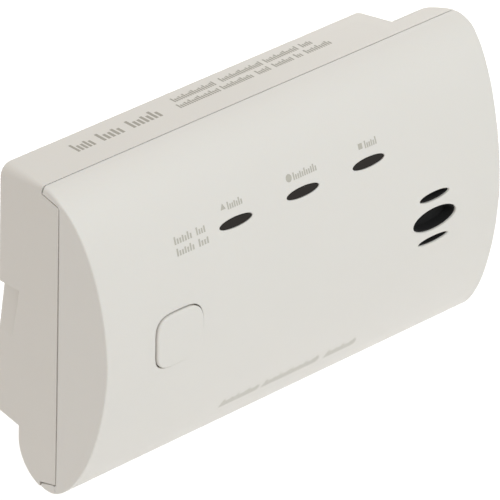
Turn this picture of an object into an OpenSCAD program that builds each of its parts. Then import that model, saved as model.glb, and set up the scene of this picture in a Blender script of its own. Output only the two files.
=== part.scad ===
// Battery carbon monoxide alarm. Millimetres, +X to the right seen from the front,
// +Y towards the wall, +Z up. The wall is the plane y = 0 and the whole alarm lies in front of it.

/* [Case] */
// Width of the case, end to end
case_w = 114.3; // [112:0.1:118]
// Height of the case above its middle
rise = 34.95; // [34:0.05:36]
// Drop of the case below its middle
drop = 33.15; // [32.5:0.05:34]
// Depth from the wall to the crown of the front
case_d = 28.95; // [28.5:0.05:30]
// Wall of the mouldings
wall = 2; // [1.8:0.1:2.2]

/* [Test button] */
// Button opening, width and height
button_size = [13, 12.2]; // [12:0.1:14]
// Height of the button above the front
button_proud = 0.5; // [0.3:0.1:0.8]
// Travel of the button
button_travel = 0.8; // [0.5:0.1:0.8]

/* [Signal windows] */
// Distance between neighbouring windows
window_pitch = 18.45; // [17:0.05:19]
// Window, width and height
window_size = [9, 2]; // [1.8:0.1:9.5]

/* [Sounder] */
// Outside diameter of the sounder
horn_d = 26; // [24:0.5:26]
// Diameter of the round outline that the three vent slots fill
vent_d = 12.3; // [11:0.1:13]

/* [Battery] */
// Diameter of one cell
cell_d = 14.5; // [14:0.1:14.5]
// Length of one cell with its nub
cell_l = 50.5; // [50:0.1:50.5]

/* [Hidden] */
$fn = 64;
end_x = case_w / 2;
arc_steps = 22; // straight steps in each half of the front's curve
// Front curve: upper half starts at the top lip, lower half ends under the case
lip_y = -12.1;
under_y = -14.7;
bow_top = 1.75;
bow_bottom = 1.7;
draft = 0.183; // the cover's ends lean in by this much for each millimetre forward
seam_y = -17;
seam_gap = 0.25;
// Rear shell: thin rim with a thicker block standing out of it
rim_y = -6;
rim_top_r = 2.2; // rounding of the rim's upper back edge
rim_end_r = 9.5; // rounding of the rim's right end, seen from above
rim_bottom_r = 9;
rim_bottom_c = [-14.9, -24.15];
block_right = [40.8, 44.4];
block_bottom = [-20.5, -21.65];
meet_y = -11.85;
// Battery bay in the left half of the block
cell_z = [-4.1, 11.1];
cell_y = -10.9;
cell_x = -53.4;
bay_z = [-11.8, 18.8];
bay_x = [-55.15, -1.2];
bay_floor_y = -18.5;
bay_wall = 1.5;
bay_step_y = -15.5;
notch_z = [-2, 9];
notch_depth = 1.4;
notch_y = [-3.7, -5.9];
// Battery door and its hinge
door_y = [-2.1, -0.3];
door_gap = 0.4;
hinge_at = [-3.2, -1.9];
knuckle_r = 1.6;
knuckle_l = 3;
pin_r = 1.1;
pin_l = 1.7;
bore_r = 1.16;
// Keyholes in the back
keyhole_x = 25;
keyhole_z = 24.9;
keyhole_r = 4.3;
keyhole_slot_r = 2;
keyhole_run = 3.7;
// Air slots in the underside of the block
air_slots = 10;
air_slot_x = 5;
air_slot_w = 1.4;
// Circuit board
board_y = [-22.2, -20.6];
board_x = 51;
board_z = [-20, 21];
post_at = [[-44, 14], [-44, -8], [46.5, 17.3], [46.5, -16.3]];
// Case screws
screw_at = [[-50, 27], [50, 27], [-50, -24], [50, -24]];
screw_seat_y = -14;
// Front features
button_at = [-35.6, 0.5];
button_round = 3.6;
switch_x = -35.2;
window_z = 18.6;
window_x = [for (i = [-1:1]) 0.55 + i * window_pitch];
horn_at = [35.9, 0.6];
horn_r = horn_d / 2;
vent_slots = [[0, 12.3, 5], [5.15, 8.4, 1.9], [-4.9, 8.6, 1.6]];
switch_top_y = -24;
sensor_at = [12.2, -7];

// ---- curves and shared shapes ----

// Ellipse or rounder oval of width w and height h; power 2 is an ellipse, 4 is nearly square
function oval(w, h, power = 2, steps = 48) =
    [for (i = [0:steps - 1]) let (a = 360 * i / steps, c = cos(a), s = sin(a))
        [w / 2 * sign(c) * pow(abs(c), 2 / power), h / 2 * sign(s) * pow(abs(s), 2 / power)]];

// Points of the front curve from the top lip to the lowest line, moved inwards by inset
function front_curve(inset) = concat(
    [for (i = [0:arc_steps]) let (a = 90 * i / arc_steps)
        [lip_y - (case_d + lip_y - inset) * sin(a), (rise - inset) * pow(cos(a), 2 / bow_top)]],
    [for (i = [1:arc_steps]) let (a = 90 - 90 * i / arc_steps)
        [under_y - (case_d + under_y - inset) * sin(a), -(drop - inset) * pow(cos(a), 2 / bow_bottom)]]);

// Arc points in the y-z plane
function arc(c, r, from, to, steps = 10) =
    [for (i = [0:steps]) let (a = from + (to - from) * i / steps) [c[0] + r * cos(a), c[1] + r * sin(a)]];

module along_x(x0, x1)
    translate([x0, 0, 0]) rotate([90, 0, 90]) linear_extrude(x1 - x0) children();
module along_y(y0, y1)
    translate([0, y1, 0]) rotate([90, 0, 0]) linear_extrude(y1 - y0) children();
module rod_y(at, r, y0, y1)
    translate([at[0], y1, at[1]]) rotate([90, 0, 0]) cylinder(r = r, h = y1 - y0);
module block(x, y, z)
    translate([x[0], y[0], z[0]]) cube([x[1] - x[0], y[1] - y[0], z[1] - z[0]]);

// Everything behind the front curve moved inwards by inset, back to the line y = back
module behind_front(inset, back, x = end_x)
    along_x(-x, x) polygon(concat([[back, rise - inset]], front_curve(inset), [[back, inset - drop]]));

// The layer between two insets of the front curve
module front_layer(outer, inner)
    difference() {
        behind_front(outer, under_y);
        behind_front(inner, under_y + 1, end_x + 1);
    }

// Plan that the cover's leaning ends leave
module cover_plan(inset) {
    tip = end_x - draft * (case_d + seam_y);
    translate([0, 0, -rise - 1]) linear_extrude(2 * rise + 2)
        polygon([[-end_x + inset, 0], [-end_x + inset, seam_y], [-tip + inset, -case_d - 1],
            [tip - inset, -case_d - 1], [end_x - inset, seam_y], [end_x - inset, 0]]);
}

// ---- covers ----

module vent_cuts()
    for (slot = vent_slots)
        translate([horn_at[0], 0, horn_at[1] + slot[0]]) along_y(-32, -22) polygon(oval(slot[1], slot[2]));

module cover_shell() {
    cheek = [[seam_y, -30.9], [-12.5, -32], [1, -32], [1, 33.6], [lip_y, 33.6], [seam_y, 32.4]];
    difference() {
        intersection() {
            along_x(-end_x, end_x) polygon(concat(front_curve(0), arc(rim_bottom_c, rim_bottom_r, 273, 286, 3),
                [[-12.4, -30], [lip_y, 30]]));
            cover_plan(0);
        }
        intersection() {
            behind_front(wall, 1, end_x + 1);
            cover_plan(wall);
        }
        along_x(-end_x - 1, end_x + 1) polygon(cheek);
    }
}

module front_cover() color([0.89, 0.88, 0.86]) difference() {
    union() {
        cover_shell();
        for (at = screw_at) intersection() {
            rod_y(at, 3.2, -30, screw_seat_y - 2.6);
            behind_front(wall - 0.5, 1);
        }
    }
    for (at = screw_at) rod_y(at, 1.3, screw_seat_y - 6.7, screw_seat_y - 2);
    for (x = window_x)
        translate([x, 0, window_z]) along_y(-32, -20) polygon(oval(window_size[0], window_size[1]));
    vent_cuts();
    on_button() along_y(-32, -22) polygon(oval(button_size[0], button_size[1], button_round));
}

module rim_section(inset) {
    top_c = [rim_y - rim_top_r, rise - rim_top_r];
    polygon(concat([[meet_y, rise - inset]], arc(top_c, rim_top_r - inset, 90, 0),
        arc(rim_bottom_c, rim_bottom_r - inset, 0, -73), [[meet_y - 0.4, -20]]));
}

// Plan of the rim, with a round corner at the right end
module rim_plan(inset)
    translate([0, 0, -rise - 1]) linear_extrude(2 * rise + 2)
        polygon(concat([[-end_x + inset, -40], [-end_x + inset, 0]],
            arc([end_x - rim_end_r, rim_y - rim_end_r], rim_end_r - inset, 90, 0, 16),
            [[end_x - inset, -40]]));

module rim() intersection() {
    along_x(-end_x, end_x) rim_section(0);
    rim_plan(0);
}

module rear_block(inset) intersection() {
    along_x(-end_x + inset, end_x)
        polygon([[meet_y, rise - inset], [-inset, rise - inset], [-inset, block_bottom[0] + inset],
            [rim_y - inset, block_bottom[1] + inset], [meet_y, block_bottom[1] + inset]]);
    translate([0, 0, -rise - 1]) linear_extrude(2 * rise + 2)
        polygon([[-end_x, 0], [block_right[0] - inset, 0], [block_right[1] - inset, meet_y], [-end_x, meet_y]]);
}

// Takes off the block's upper left edge, with a radius that grows from the seam to the wall
module edge_rounding() {
    radii = [0.8, 2.8];
    difference() {
        block([-end_x - 1, -end_x + radii[1]], [meet_y, 1], [rise - radii[1], rise + 1]);
        hull() for (i = [0, 1]) translate([-end_x + radii[i], [meet_y - 0.5, 1.5][i], rise - radii[i]])
            rotate([90, 0, 0]) {
                cylinder(r = radii[i], h = 0.01, $fn = 48);
                translate([4, 0, 0]) cylinder(r = radii[i], h = 0.01, $fn = 48);
                translate([0, -4, 0]) cylinder(r = radii[i], h = 0.01, $fn = 48);
            }
    }
}

// Finger notch in the left wall, open to the back and deepest at its upper end
module finger_notch() intersection() {
    along_y(-8, 1) polygon([[-end_x - 1, notch_z[0]], [-end_x, notch_z[0]],
        [-end_x + notch_depth, notch_z[1]], [-end_x - 1, notch_z[1]]]);
    along_x(-end_x - 2, -end_x + 2) polygon([[2, notch_z[0] - 1], [notch_y[0], notch_z[0] - 1],
        [notch_y[1], notch_z[1] + 1], [2, notch_z[1] + 1]]);
}

module keyhole(x) {
    rod_y([x, keyhole_z], keyhole_r, -wall - 1, 1);
    rod_y([x, keyhole_z + keyhole_run], keyhole_slot_r, -wall - 1, 1);
    block([x - keyhole_slot_r, x + keyhole_slot_r], [-wall - 1, 1], [keyhole_z, keyhole_z + keyhole_run]);
}

module shell() difference() {
    union() {
        rim();
        rear_block(0);
        along_x(-end_x, end_x)
            polygon([[seam_y + seam_gap, 32.1], [-12, 33.3], [meet_y + 1, 33.3], [meet_y + 1, -31.7],
                [-12.3, -31.7], [seam_y + seam_gap, -30.6]]);
    }
    rear_block(wall);
    intersection() {
        along_x(-end_x + wall, end_x - wall - 1) rim_section(wall);
        rim_plan(wall);
    }
    block([-end_x + wall, end_x - wall], [-20, meet_y + 0.5], [-29.6, 31]);
}

// Box for the cells, narrower in front of the seam, where the cover's end stands
module battery_bay() difference() {
    z = [bay_z[0] - bay_wall, bay_z[1] + bay_wall];
    right = bay_x[1] + bay_wall + 0.3;
    union() {
        block([bay_x[0] - 0.5, right], [bay_step_y - 1, -0.5], z);
        block([bay_x[0] + 0.85, right], [bay_floor_y - bay_wall, -0.5], z);
    }
    block(bay_x, [bay_step_y, 1], bay_z);
    block([bay_x[0] + 1.45, bay_x[1]], [bay_floor_y, 1], bay_z);
}

module rear_housing() color([0.86, 0.84, 0.81]) difference() {
    union() {
        shell();
        battery_bay();
        for (at = screw_at)
            rod_y(at, 3.5, screw_seat_y - 2.3, at[0] < 0 && at[1] > 0 ? -1 : -8);
        for (at = post_at)
            rod_y(at, 2.2, board_y[1], at[0] < 0 ? bay_floor_y - 1 : -7);
        for (z = [bay_z[0] - 0.2, bay_z[1] - 4])
            block([bay_x[0] - 0.2, bay_x[0] + 1], [-6, door_y[0] - 0.3], [z, z + 4.2]);
    }
    block(bay_x, [-8, 1], bay_z);
    translate([hinge_at[0], hinge_at[1], bay_z[0] - bay_wall - 1])
        cylinder(r = bore_r, h = bay_z[1] - bay_z[0] + 2 * bay_wall + 2);
    finger_notch();
    edge_rounding();
    for (side = [-1, 1]) keyhole(side * keyhole_x);
    for (i = [0:air_slots - 1])
        block([air_slot_x + 3 * i, air_slot_x + 3 * i + air_slot_w], [-5, -1.6], [block_bottom[1] - 1, -18]);
    for (at = screw_at) {
        rod_y(at, 2.9, screw_seat_y, 1);
        rod_y(at, 1.5, screw_seat_y - 3, screw_seat_y + 1);
    }
    for (at = post_at) rod_y(at, 0.95, board_y[1] - 1, board_y[1] + 5);
    block([6, 36], [-0.3, 1], [-14, 16]);
}

module battery_door() color([0.84, 0.82, 0.79]) {
    z = [bay_z[0] + door_gap, bay_z[1] - door_gap];
    left = bay_x[0] + 0.55;
    block([left, hinge_at[0]], door_y, z);
    intersection() {
        translate([hinge_at[0], hinge_at[1], z[0]]) cylinder(r = knuckle_r, h = z[1] - z[0]);
        block([hinge_at[0] - 3, 0], door_y, z);
    }
    for (z0 = [z[0], z[1] - knuckle_l])
        translate([hinge_at[0], hinge_at[1], z0]) cylinder(r = knuckle_r, h = knuckle_l);
    for (z0 = [z[0] - pin_l, z[1] - 0.5])
        translate([hinge_at[0], hinge_at[1], z0]) cylinder(r = pin_r, h = pin_l + 0.5);
    block([left + 0.4, left + 1.4], [-5.4, door_y[0] + 0.2], [1, 6]);
    for (i = [0:3]) block([left + 3 + 1.6 * i, left + 3.8 + 1.6 * i], [door_y[1] - 0.1, door_y[1] + 0.25], [-2, 9]);
    for (x = [-42, -29, -16]) block([x, x + 1.2], [door_y[0] - 0.9, door_y[0] + 0.2], [z[0] + 1, z[1] - 1]);
}

// ---- test button and its switch ----

module on_button() translate([button_at[0], 0, button_at[1]]) children();

module test_button() color([0.88, 0.87, 0.84]) {
    cap = button_size - [0.4, 0.4];
    intersection() {
        on_button() along_y(-case_d - 2, -25.4) polygon(oval(cap[0], cap[1], button_round));
        behind_front(-button_proud, under_y);
    }
    on_button() along_y(-26, -25) polygon(oval(button_size[0] + 2.4, button_size[1] + 2.2, 5));
    rod_y([switch_x, 0], 2, -25.2, switch_top_y - 0.95);
}

module switch_body() color([0.12, 0.12, 0.12]) translate([switch_x, 0, 0]) difference() {
    block([-3, 3], [switch_top_y, board_y[0]], [-3, 3]);
    rod_y([0, 0], 2.6, switch_top_y + 0.25, board_y[0] - 0.2);
    rod_y([0, 0], 1.85, switch_top_y - 1, board_y[0] - 0.4);
}

module switch_plunger() color([0.2, 0.2, 0.2]) {
    rod_y([switch_x, 0], 1.75, switch_top_y - 0.9, switch_top_y + 0.6);
    rod_y([switch_x, 0], 2.4, switch_top_y + 0.35, switch_top_y + 0.65);
}

// ---- windows and lights ----

module lens(x) color([0.17, 0.16, 0.15]) translate([x, 0, 0]) {
    intersection() {
        translate([0, 0, window_z])
            along_y(-32, -22) polygon(oval(window_size[0] - 0.16, window_size[1] - 0.16));
        front_layer(0.15, 2.6);
    }
    intersection() {
        translate([0, 0, window_z])
            along_y(-32, -20) polygon(oval(window_size[0] + 1.6, window_size[1] + 1.6));
        front_layer(wall + 0.05, 2.6);
    }
}
module lens_left() lens(window_x[0]);
module lens_middle() lens(window_x[1]);
module lens_right() lens(window_x[2]);

module led(x) {
    block([x - 1, x + 1], [board_y[0] - 0.3, board_y[0]], [window_z - 1.4, window_z + 1.4]);
    block([x - 0.9, x + 0.9], [board_y[0] - 0.65, board_y[0] - 0.25], [window_z - 0.9, window_z + 0.9]);
}
module led_left() color([0.8, 0.15, 0.1]) led(window_x[0]);
module led_middle() color([0.2, 0.7, 0.3]) led(window_x[1]);
module led_right() color([0.9, 0.6, 0.1]) led(window_x[2]);

// ---- circuit board and what is soldered to it ----

module circuit_board() color([0.1, 0.4, 0.25]) difference() {
    block([-board_x, board_x], board_y, board_z);
    rod_y(horn_at, horn_r + 0.6, -24, -19);
    for (at = post_at) rod_y(at, 1.1, -24, -19);
    for (i = [0:2]) rod_y([sensor_at[0] - 4 + 4 * i, sensor_at[1] + (i == 1 ? 4 : -3)], 0.65, -24, -19);
    for (at = screw_at) rod_y(at, 3.6, -24, -19);
}

// Chip with a row of legs down each side: body size [x, z], height and legs on a side
module chip(at, size, height, legs) translate([at[0], 0, at[1]]) {
    block([-size[0] / 2, size[0] / 2], [board_y[0] - height, board_y[0] - 0.15], [-size[1] / 2, size[1] / 2]);
    for (side = [-1, 1], i = [0:legs - 1]) {
        z = (i - (legs - 1) / 2) * 1.27;
        block([side * size[0] / 2 - 0.9, side * size[0] / 2 + 0.9], [board_y[0] - 0.25, board_y[0]],
            [z - 0.2, z + 0.2]);
    }
}
module microcontroller() color([0.1, 0.1, 0.1]) chip([-8, -3], [7.5, 10.3], 2.2, 8);
module horn_driver() color([0.1, 0.1, 0.1]) chip([9, 1.5], [3.9, 5], 1.7, 4);

// Wound drum core behind the board
module boost_inductor() color([0.25, 0.22, 0.2]) {
    at = [6.6, 10.5];
    for (y = [-14.6, -20.6]) rod_y(at, 4, y, y + 1.2);
    rod_y(at, 3.3, -20.4, -14);
}

module electrolytic_capacitors() color([0.15, 0.2, 0.35])
    for (x = [14.8, 22.2]) {
        rod_y([x, 14.2], 3.15, board_y[1], -10.2);
        rod_y([x, 14.2], 2.7, -10.3, -9.8);
    }

// Chip resistors and capacitors in rows
module chip_parts() color([0.55, 0.45, 0.35]) {
    for (i = [0:5]) block([-22, -20], [board_y[0] - 0.6, board_y[0]], [-9 + 3 * i, -7.8 + 3 * i]);
    for (i = [0:4]) block([-2 + 3.4 * i, -0.4 + 3.4 * i], [board_y[0] - 0.8, board_y[0]], [-14.5, -13.5]);
    for (x = window_x) block([x + 3, x + 4.6], [board_y[0] - 0.5, board_y[0]], [14.2, 15]);
}

// Sealed electrochemical cell with three legs through the board
module co_sensor() color([0.75, 0.76, 0.78]) {
    rod_y(sensor_at, 8.4, board_y[1] + 0.3, -9.6);
    rod_y(sensor_at, 9, board_y[1] + 0.3, -18.2);
    for (i = [0:2])
        rod_y([sensor_at[0] - 4 + 4 * i, sensor_at[1] + (i == 1 ? 4 : -3)], 0.5, -23.2, -20);
}

module sensor_filter_cap() color([0.92, 0.92, 0.9]) difference() {
    rod_y(sensor_at, 8.9, -12.5, -8);
    rod_y(sensor_at, 8.45, -13, -9.55);
    rod_y(sensor_at, 1.2, -10, -7);
}

// ---- sounder ----

module horn_cup() color([0.1, 0.1, 0.1]) difference() {
    rod_y(horn_at, horn_r, -25, -15);
    rod_y(horn_at, horn_r - 1.3, -23.8, -14);
    rod_y(horn_at, 6.3, -26, -23);
}
module horn_diaphragm() color([0.78, 0.65, 0.3]) rod_y(horn_at, horn_r - 1.5, -17.25, -17);
module piezo_ceramic() color([0.9, 0.88, 0.82]) rod_y(horn_at, 8, -17, -16.7);
module horn_back() color([0.12, 0.12, 0.12]) {
    rod_y(horn_at, horn_r, -15, -13.6);
    difference() {
        rod_y(horn_at, horn_r - 1.4, -16.95, -14.8);
        rod_y(horn_at, horn_r - 3, -18, -15);
    }
}
module horn_gasket() color([0.25, 0.25, 0.25]) difference() {
    rod_y(horn_at, 9.4, -25.9, -25);
    rod_y(horn_at, 7.1, -27, -24);
}
// Disc of mesh with a thin collar that lines each vent slot
module dust_mesh() color([0.08, 0.08, 0.08]) {
    rod_y(horn_at, 7, -26.1, -25.8);
    for (slot = vent_slots) intersection() {
        translate([horn_at[0], 0, horn_at[1] + slot[0]]) along_y(-32, -25.9) difference() {
            polygon(oval(slot[1] - 0.1, slot[2] - 0.1));
            polygon(oval(slot[1] - 0.7, slot[2] - 0.7));
        }
        behind_front(0.5, 1);
    }
}

// Rings of wire along X, each smaller than the last and joined to it by a short bar
module coil(r0, r1, pitch, turns, wire_r) {
    step = (r0 - r1) / (turns - 1);
    for (i = [0:turns - 1])
        translate([i * pitch, 0, 0]) rotate([0, 90, 0])
            rotate_extrude() translate([r0 - i * step, 0]) circle(r = wire_r);
    for (i = [0:turns - 2])
        translate([(i + 0.5) * pitch, 0, r0 - (i + 0.5) * step])
            cube([pitch + wire_r, 1.2 * wire_r, step], center = true);
}

// Spring strips from the board to the back of the sounder
module horn_contacts() color([0.8, 0.8, 0.8]) for (x = [30, 42]) {
    block([x - 0.6, x + 0.6], [-20.55, -13.3], [15.3, 15.6]);
    block([x - 0.6, x + 0.6], [-13.55, -13.3], [8, 15.6]);
}

// ---- batteries and contacts ----

module cell() rotate([0, 90, 0]) {
    cylinder(r = cell_d / 2 - 0.6, h = 0.4);
    translate([0, 0, 0.3]) cylinder(r = cell_d / 2, h = cell_l - 1.6);
    translate([0, 0, cell_l - 1.6]) cylinder(r = 2.75, h = 1.6);
}
module battery_lower() color([0.25, 0.27, 0.3]) translate([cell_x + cell_l, cell_y, cell_z[0]]) mirror([1, 0, 0]) cell();
module battery_upper() color([0.25, 0.27, 0.3]) translate([cell_x, cell_y, cell_z[1]]) cell();

// Flat contacts touch the nubs, coil contacts touch the flat ends
module contact_plates() color([0.8, 0.8, 0.78]) {
    block([bay_x[0] + 0.05, bay_x[0] + 0.45], [cell_y - 4.5, cell_y + 4.5], [cell_z[0] - 4.5, cell_z[0] + 4.5]);
    translate([bay_x[0] + 0.4, cell_y, cell_z[0]]) rotate([0, 90, 0]) cylinder(r = 2, h = 1.3);
    block([bay_x[1] - 0.45, bay_x[1] - 0.05], [cell_y - 4.5, cell_y + 4.5], [cell_z[1] - 4.5, cell_z[1] + 4.5]);
    translate([bay_x[1] - 1.45, cell_y, cell_z[1]]) rotate([0, 90, 0]) cylinder(r = 2, h = 1.1);
}

module contact_spring() {
    block([0, 0.35], [-4.5, 4.5], [-4.5, 4.5]);
    translate([0.5, 0, 0]) coil(4.1, 2.3, 0.4, 3, 0.25);
}
module contact_springs() color([0.8, 0.8, 0.78]) {
    translate([bay_x[0] + 0.05, cell_y, cell_z[1]]) contact_spring();
    translate([bay_x[1] - 0.05, cell_y, cell_z[0]]) mirror([1, 0, 0]) contact_spring();
}

// ---- fasteners and label ----

module cross_screw(at, seat, head, shank, length) difference() {
    union() {
        rod_y(at, head, seat, seat + 0.65 * head);
        rod_y(at, shank, seat - length, seat + 0.1);
    }
    for (a = [0, 90]) translate([at[0], seat + 0.65 * head, at[1]]) rotate([0, a, 0])
        block([-0.55 * head, 0.55 * head], [-0.3 * head, 1], [-0.11 * head, 0.11 * head]);
}
module case_screws() color([0.7, 0.7, 0.72])
    for (at = screw_at) cross_screw(at, screw_seat_y, 2.5, 1.25, 6.4);
module board_screws() color([0.7, 0.7, 0.72])
    for (at = post_at) translate([0, 2 * board_y[0], 0]) mirror([0, 1, 0])
        cross_screw(at, board_y[0], 1.8, 0.9, 3.4);

module rear_label() color([0.93, 0.93, 0.92]) block([6.4, 35.6], [-0.28, -0.1], [-13.6, 15.6]);

front_cover();
rear_housing();
battery_door();
test_button();
circuit_board();
lens_left();
lens_middle();
lens_right();
led_left();
led_middle();
led_right();
switch_body();
switch_plunger();
microcontroller();
horn_driver();
boost_inductor();
electrolytic_capacitors();
chip_parts();
co_sensor();
sensor_filter_cap();
horn_cup();
horn_diaphragm();
piezo_ceramic();
horn_back();
horn_gasket();
dust_mesh();
horn_contacts();
battery_lower();
battery_upper();
contact_springs();
contact_plates();
case_screws();
board_screws();
rear_label();
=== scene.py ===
import math

import bpy
import numpy as np
from mathutils import Matrix, Vector
from mathutils.geometry import delaunay_2d_cdt


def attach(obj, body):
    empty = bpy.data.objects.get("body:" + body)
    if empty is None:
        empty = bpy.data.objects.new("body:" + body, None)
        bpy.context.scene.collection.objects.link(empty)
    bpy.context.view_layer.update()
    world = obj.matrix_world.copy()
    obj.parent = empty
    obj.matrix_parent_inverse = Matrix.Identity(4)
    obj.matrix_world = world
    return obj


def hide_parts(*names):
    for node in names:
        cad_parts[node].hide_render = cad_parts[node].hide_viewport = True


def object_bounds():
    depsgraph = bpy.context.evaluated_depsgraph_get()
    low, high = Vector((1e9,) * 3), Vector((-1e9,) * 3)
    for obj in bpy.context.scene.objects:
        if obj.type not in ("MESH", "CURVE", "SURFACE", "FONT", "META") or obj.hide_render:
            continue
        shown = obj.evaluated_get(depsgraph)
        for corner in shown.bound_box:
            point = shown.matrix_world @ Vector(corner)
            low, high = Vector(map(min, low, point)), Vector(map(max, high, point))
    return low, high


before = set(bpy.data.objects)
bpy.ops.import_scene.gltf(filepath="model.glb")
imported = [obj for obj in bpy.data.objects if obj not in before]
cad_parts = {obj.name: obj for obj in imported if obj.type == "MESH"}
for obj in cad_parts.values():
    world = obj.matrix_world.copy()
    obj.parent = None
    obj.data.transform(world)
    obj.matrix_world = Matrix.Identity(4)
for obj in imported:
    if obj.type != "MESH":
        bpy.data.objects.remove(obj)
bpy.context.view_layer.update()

# The visible skin, prints, cells and finish of a battery carbon monoxide alarm, with its camera,
# lights and ground. Shapes are worked out in millimetres, and MM turns them into metres. +X is
# right when seen from the front, +Y goes towards the wall, +Z is up, and the wall is at y = 0.
MM = 0.001

# ---- sizes, as the CAD model has them ----
END_X = 57.15               # half width
RISE = 34.95                # top of the case above its middle
DROP = 33.15                # bottom of the case below its middle
CASE_D = 28.95              # depth from the wall to the crown
LIP_Y = -12.1               # back edge of the front curve, along the top
UNDER_Y = -14.7             # lowest line of the front curve
UNDER_END_Y = -12.5         # back edge of the front curve, along the bottom
BOW_TOP = 1.75              # roundness of the curve's upper half; 2 would be an ellipse
BOW_BOTTOM = 1.7
RIM_BOTTOM_C = (-14.9, -24.15)  # (y, z) of the middle of the arc under the case
RIM_BOTTOM_R = 9.0
DRAFT = 0.183               # the ends lean in by this much for each millimetre forward
WALL = 2.0                  # thickness of the mouldings
SEAM_Y = -17.0              # seam between cover and housing on the two ends
TONGUE_Z = (-30.9, 32.4)    # the housing's end meets the seam between these heights
BUTTON_AT = (-35.6, 0.5)    # (x, z)
BUTTON_SIZE = (13.0, 12.2)
BUTTON_ROUND = 3.6          # power of the outline: 2 is an ellipse, larger is squarer
BUTTON_PROUD = 0.5
FLANGE_EXTRA = (2.4, 2.2)   # the button's flange is this much wider and taller
FLANGE_ROUND = 5
FLANGE_Y = (-26, -25)
SWITCH_X = -35.2
WINDOW_X = (-17.9, 0.55, 19.0)
WINDOW_Z = 18.6
WINDOW_SIZE = (9.0, 2.0)
HORN = (35.9, 0.6)          # (x, z) of the sounder
VENT_SLOTS = ((0.0, 12.3, 5.0), (5.15, 8.4, 1.9), (-4.9, 8.6, 1.6))  # (up from HORN, width, height)
LABEL_Y = -0.1
DOOR_Y = -0.3
CELL_Y = -10.9
CELL_R = 7.25
# (name, z of the axis, x of the nub's tip, x of the flat end)
CELLS = (("battery_lower", -4.1, -53.4, -2.9), ("battery_upper", 11.1, -2.9, -53.4))

# ---- finer sizes of the visible skin ----
LIP_EXTRA = 0.13            # the cover's top edge comes this much closer to the housing
SEAM_EXTRA = 0.08           # and so do its ends
SEAM_BEVEL = 0.1
LIP_ROUND = 0.1             # rounding of the cover's long back edges
SEAM_MARGIN = 0.05          # the ends count as part of the cover from this far in front of the seam
INNER_TURN = 50.0           # outwards of this x the inner skin bends to follow the ends
BUTTON_GAP = 0.25
WINDOW_GAP = 0.08
WINDOW_SUNK = 0.15
PAD_ROOT = 2.6              # how far the button and the windows reach under the surface
VENT_RIM, WINDOW_RIM, BUTTON_RIM = 0.3, 0.22, 0.13          # rounded rims of the openings
WINDOW_EDGE, BUTTON_EDGE = 0.12, 0.42                       # rounded edges of what fills them
PAD_STEPS = 160             # points round the button
COVER_ROWS = 110
COVER_COLUMNS = 58
# (distance from the wall, thickness) where the cover wraps over and under the housing's tongue
OVER_TONGUE = ((12.1, 1.45), (13.3, 1.6), (14.5, 1.6), (15.75, 1.38), (17, 0.95), (19, WALL))
UNDER_TONGUE = ((12.5, 0.92), (13.6, 1.44), (14.7, 1.8), (16, 1.95), (17, 1.85), (19, WALL))

# ---- view, in millimetres and degrees ----
VIEW_AIM = (0, -15, 0)
VIEW_SHIFT = (-2.159, 0.684)            # right and up from VIEW_AIM
VIEW_DISTANCE = 1202.7
VIEW_BACK = (-0.6127, -0.6167, 0.4943)  # direction from the case to the camera
VIEW_ROLL = 1.75
SENSOR, LENS = 36.0, 430.0272

# ---- light and ground, in metres, watts and degrees ----
MIDDLE = (0, -0.015, 0)
KEY_AT, KEY_POWER, KEY_COLOUR = (0.15, -0.95, 0.8), 4.3, (0.86, 0.98, 1.03)
TOP_AT, TOP_POWER = (0.1, 0.3, 1.0), 0.7
LAMP_SIZE = 0.6
SPOT_AT, SPOT_AIM, SPOT_POWER, SPOT_WIDTH = (0.5, 0.5, 0.3), (0.165, 0.155, -0.113), 24, 31
SKY_COLOUR, SKY_STRENGTH = (1, 0.965, 0.925, 1), 0.67
FLOOR_SIZE, FLOOR_COLOUR = 8, (0.86, 0.855, 0.85, 1)
FLOOR_DROP = 0.08                       # the ground is this far below the case

TO_WALL = np.array([0, 1.0, 0])


# ---- camera, light and ground ----

def make_camera():
    """A view from the left and above, through a long lens."""
    back = Vector(VIEW_BACK).normalized()
    roll = math.radians(VIEW_ROLL)
    side = Vector((-back.y, back.x, 0)).normalized()
    up = back.cross(side)
    right = side * math.cos(roll) + up * math.sin(roll)
    upward = up * math.cos(roll) - side * math.sin(roll)
    centre = Vector(VIEW_AIM) + right * VIEW_SHIFT[0] + upward * VIEW_SHIFT[1]
    cam = bpy.data.cameras.new("camera")
    cam.sensor_width = SENSOR
    cam.lens = LENS
    cam.clip_start = 0.05
    cam.clip_end = 20
    obj = bpy.data.objects.new("camera", cam)
    bpy.context.scene.collection.objects.link(obj)
    turn = Matrix((right, upward, back)).transposed().to_4x4()
    obj.matrix_world = Matrix.Translation((centre + back * VIEW_DISTANCE) * MM) @ turn
    bpy.context.scene.camera = obj


def add_lamp(name, kind, at, target, power):
    lamp = bpy.data.lights.new(name, kind)
    lamp.energy = power
    obj = bpy.data.objects.new(name, lamp)
    obj.location = at
    obj.rotation_mode = "QUATERNION"
    obj.rotation_quaternion = (Vector(target) - Vector(at)).to_track_quat("-Z", "Y")
    bpy.context.scene.collection.objects.link(obj)
    return lamp


def make_lights():
    world = bpy.data.worlds.new("studio")
    world.use_nodes = True
    sky = world.node_tree.nodes["Background"]
    sky.inputs["Color"].default_value = SKY_COLOUR
    sky.inputs["Strength"].default_value = SKY_STRENGTH
    bpy.context.scene.world = world
    bpy.context.scene.view_settings.view_transform = "Standard"
    key = add_lamp("key", "AREA", KEY_AT, MIDDLE, KEY_POWER)
    key.size = LAMP_SIZE
    key.color = KEY_COLOUR
    add_lamp("top", "AREA", TOP_AT, MIDDLE, TOP_POWER).size = LAMP_SIZE
    spot = add_lamp("floor_light", "SPOT", SPOT_AT, SPOT_AIM, SPOT_POWER)
    spot.spot_size = math.radians(SPOT_WIDTH)
    spot.spot_blend = 0.6
    spot.shadow_soft_size = 0.1


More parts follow.
